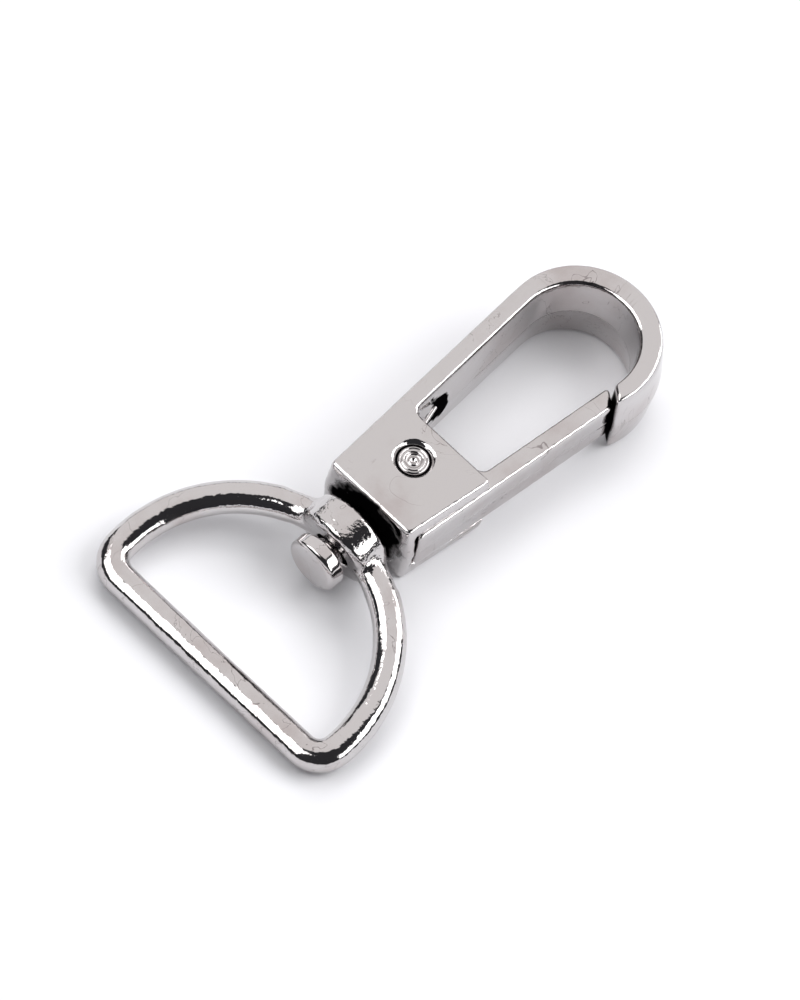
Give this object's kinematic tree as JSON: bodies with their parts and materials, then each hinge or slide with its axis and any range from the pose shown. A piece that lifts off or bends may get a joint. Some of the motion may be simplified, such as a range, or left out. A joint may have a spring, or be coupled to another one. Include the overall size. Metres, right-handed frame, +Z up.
{
  "type": "swivel snap hook",
  "caption": "Swivel snap hook with a push-in sprung gate, a riveted pivot and a cast D-ring for webbing that swivels and rocks on a headed post.",
  "frame": {"origin": "centre of the bounding box seen from above, on the surface that the hook lies on", "axes": "+X along the swivel axis towards the bow of the hook, +Y towards the spine, +Z up through the thickness"},
  "size_m": [0.056, 0.0312, 0.0089],
  "materials": {
    "plated_casting": "polished nickel plate on die-cast zinc",
    "plated_post": "nickel plate on turned steel",
    "spring_wire": "drawn spring wire"
  },
  "bodies": {
    "hook": {"hook_body": "plated_casting", "gate_rivet": "plated_post", "gate_spring": "spring_wire"},
    "gate": {"gate": "plated_casting"},
    "post": {"swivel_post": "plated_post"},
    "ring": {"swivel_ring": "plated_casting"}
  },
  "joints": [
    {"name": "gate_pivot", "type": "hinge", "parent": "hook", "child": "gate", "pos_m": [-0.00097, 0.00018, 0.00445], "axis": [0, 0, 1], "range_deg": [0, 22], "stiffness_Nm_per_rad": 0.011, "springref_deg": -57.3},
    {"name": "swivel", "type": "hinge", "parent": "hook", "child": "post", "pos_m": [-0.00974, 0, 0.00445], "axis": [1, 0, 0], "continuous": true},
    {"name": "ring_rock", "type": "hinge", "parent": "post", "child": "ring", "pos_m": [-0.00974, 0, 0.00445], "axis": [0, 1, 0], "range_deg": [0, 19.5]}
  ]
}
